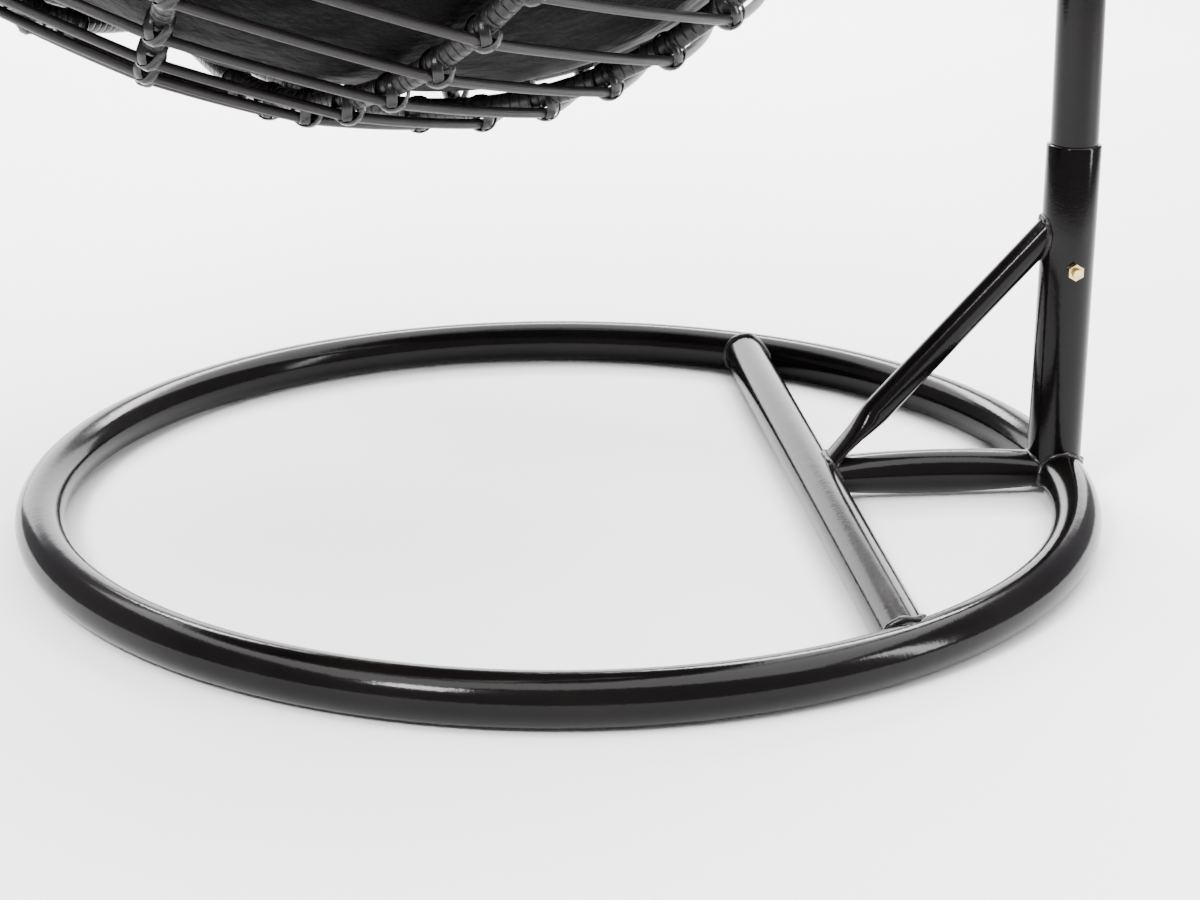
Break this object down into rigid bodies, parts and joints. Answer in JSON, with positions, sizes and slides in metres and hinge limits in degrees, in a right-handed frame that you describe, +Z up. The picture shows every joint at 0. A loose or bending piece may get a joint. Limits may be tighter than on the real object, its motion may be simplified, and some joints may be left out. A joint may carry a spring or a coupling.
{
  "type": "hanging egg chair",
  "caption": "Hanging egg chair: round-tube floor stand with a crook, sprung swivel hanger, open woven egg basket and seat cushions.",
  "frame": {"origin": "on the floor, under the middle of the bounding box", "axes": "+Z up, +X from the basket towards the post, +Y completes the right-handed set"},
  "size_m": [1.1509, 1.0528, 1.9501],
  "materials": {
    "frame_black": "gloss",
    "bolt_zinc": "satin",
    "hanger_steel": "satin",
    "cane_black": "satin",
    "cane_wrap": "satin",
    "cushion_cloth": "matte",
    "cap_plastic": "matte"
  },
  "bodies": {
    "stand": {"base_ring": "frame_black", "base_crossbar": "frame_black", "base_strut": "frame_black", "base_brace": "frame_black", "lower_post": "frame_black", "post_tube": "frame_black", "arch_tube": "frame_black", "arch_spigot": "frame_black", "arch_eye": "frame_black", "arch_end_cap": "cap_plastic", "base_bolt": "bolt_zinc", "base_nut": "bolt_zinc", "arch_bolt": "bolt_zinc", "arch_nut": "bolt_zinc"},
    "upper_link": {"upper_link": "hanger_steel"},
    "spring_top": {"spring_top_hook": "hanger_steel", "spring_coil": "hanger_steel"},
    "spring_bottom": {"swivel_cup": "hanger_steel"},
    "basket": {"swivel_eye": "hanger_steel", "snap_link": "hanger_steel", "hanger_bow": "frame_black", "top_ring": "frame_black", "bottom_ring": "frame_black", "opening_rim": "cane_wrap", "hoop_01": "cane_black", "hoop_02": "cane_black", "hoop_03": "cane_black", "hoop_04": "cane_black", "hoop_05": "cane_black", "hoop_06": "cane_black", "hoop_07": "cane_black", "hoop_08": "cane_black", "hoop_09": "cane_black", "hoop_10": "cane_black", "hoop_11": "cane_black", "hoop_12": "cane_black", "hoop_13": "cane_black", "hoop_14": "cane_black", "hoop_15": "cane_black", "hoop_16": "cane_black", "hoop_17": "cane_black", "hoop_18": "cane_black", "hoop_19": "cane_black", "hoop_20": "cane_black", "hoop_21": "cane_black", "rib_01": "cane_wrap", "rib_02": "cane_wrap", "rib_03": "cane_wrap", "rib_04": "cane_wrap", "rib_05": "cane_wrap", "rib_06": "cane_wrap", "rib_07": "cane_wrap", "rib_08": "cane_wrap", "rib_09": "cane_wrap", "rib_10": "cane_wrap", "rib_11": "cane_wrap", "rib_12": "cane_wrap", "seat_cushion": "cushion_cloth", "back_cushion": "cushion_cloth"}
  },
  "joints": [
    {"name": "swing_side", "type": "hinge", "parent": "stand", "child": "upper_link", "pos_m": [0.0076, -0.0273, 1.8011], "axis": [1, 0, 0], "range_deg": [-10, 10]},
    {"name": "swing_fore", "type": "hinge", "parent": "upper_link", "child": "spring_top", "pos_m": [0.0076, -0.0273, 1.7628], "axis": [0, 1, 0], "range_deg": [-3, 18]},
    {"name": "bounce", "type": "slide", "parent": "spring_top", "child": "spring_bottom", "axis": [0, 0, 1], "range_m": [-0.045, 0.0065], "stiffness_N_per_m": 20000, "springref_m": 0.00605, "deforming": ["spring_coil"]},
    {"name": "swivel", "type": "hinge", "parent": "spring_bottom", "child": "basket", "pos_m": [0.0076, -0.0273, 1.64], "axis": [0, 0, 1], "range_deg": [-30, 60]}
  ]
}
